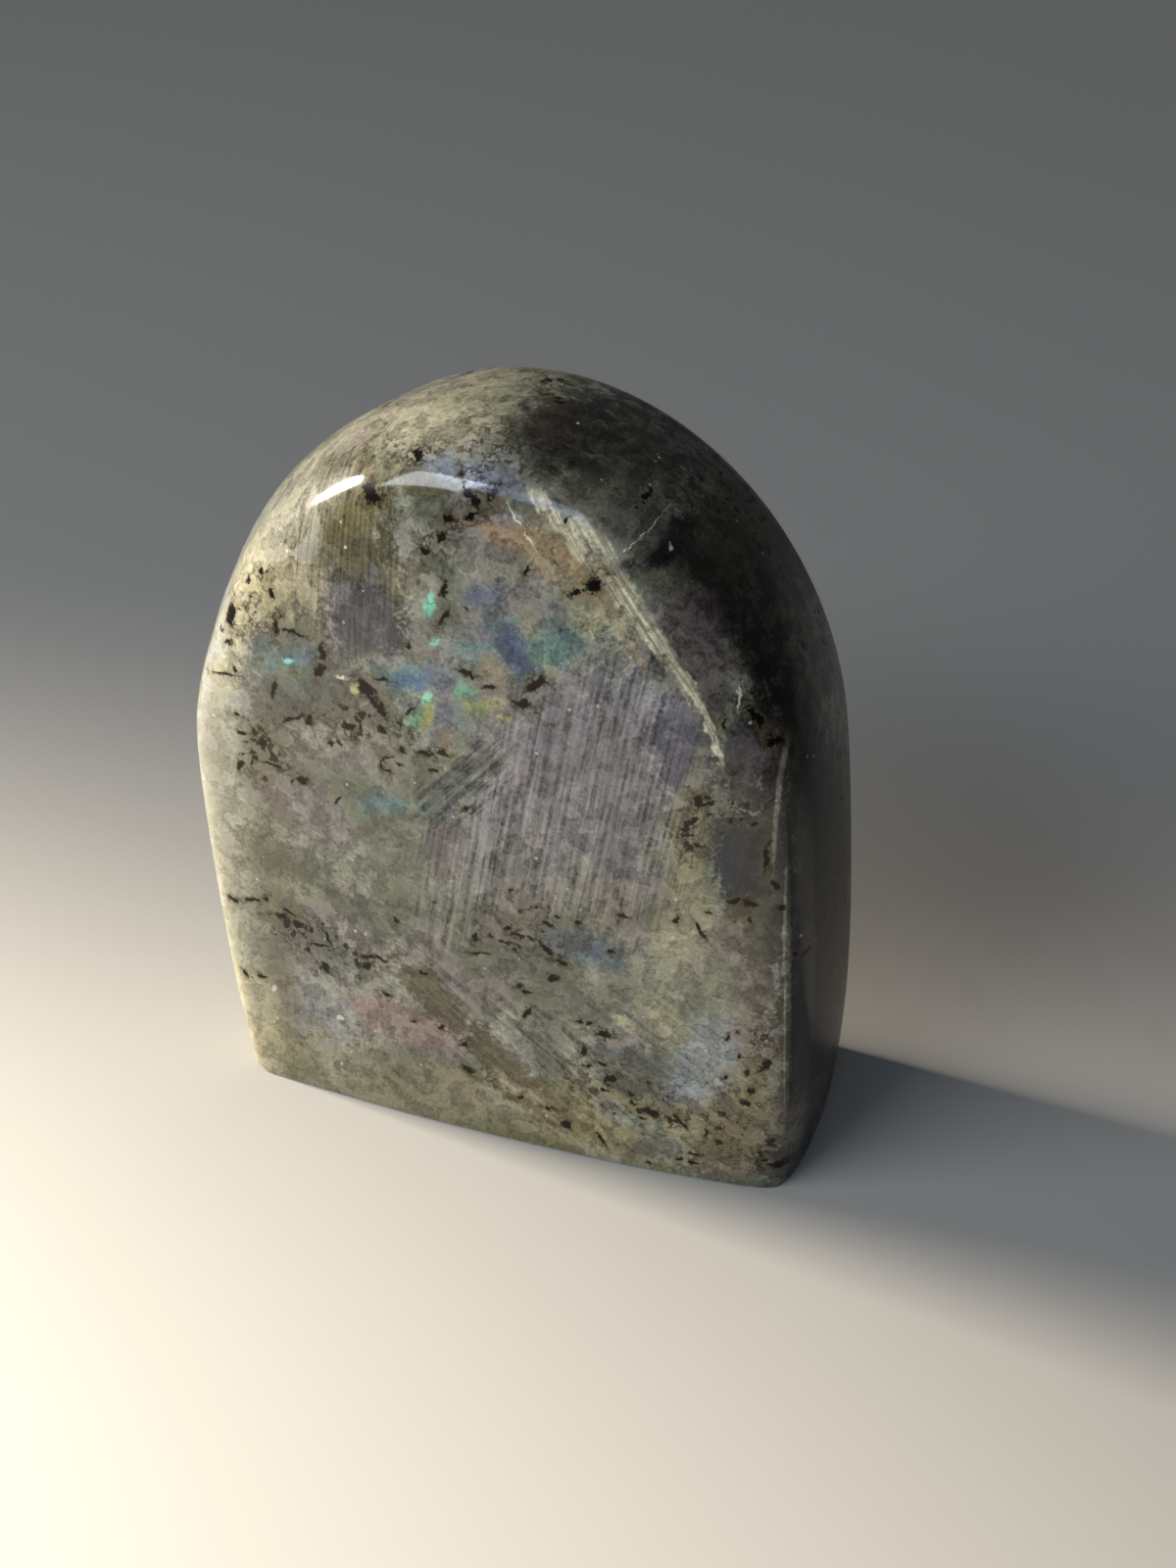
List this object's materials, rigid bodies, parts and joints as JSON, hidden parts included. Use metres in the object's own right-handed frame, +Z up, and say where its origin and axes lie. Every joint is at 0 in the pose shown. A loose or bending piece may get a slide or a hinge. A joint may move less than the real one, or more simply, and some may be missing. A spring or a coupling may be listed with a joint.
{
  "type": "polished labradorite freeform with a sawn base",
  "caption": "Arched freestanding stone, polished all over with a domed face, a soft ridge around it and a flat sawn base to stand on.",
  "frame": {"origin": "middle of the footprint, on the sawn base", "axes": "+Z up from the sawn base to the top of the arch, -Y out of the broad polished face, +X to the right as that face is seen"},
  "size_m": [0.0686, 0.0292, 0.0802],
  "materials": {
    "labradorite": "high polish over a cloudy grey-green feldspar with cream, olive and purple-grey areas, dark inclusions and small blue, teal and gold flashes"
  },
  "bodies": {
    "root": {"stone": "labradorite"}
  },
  "joints": []
}
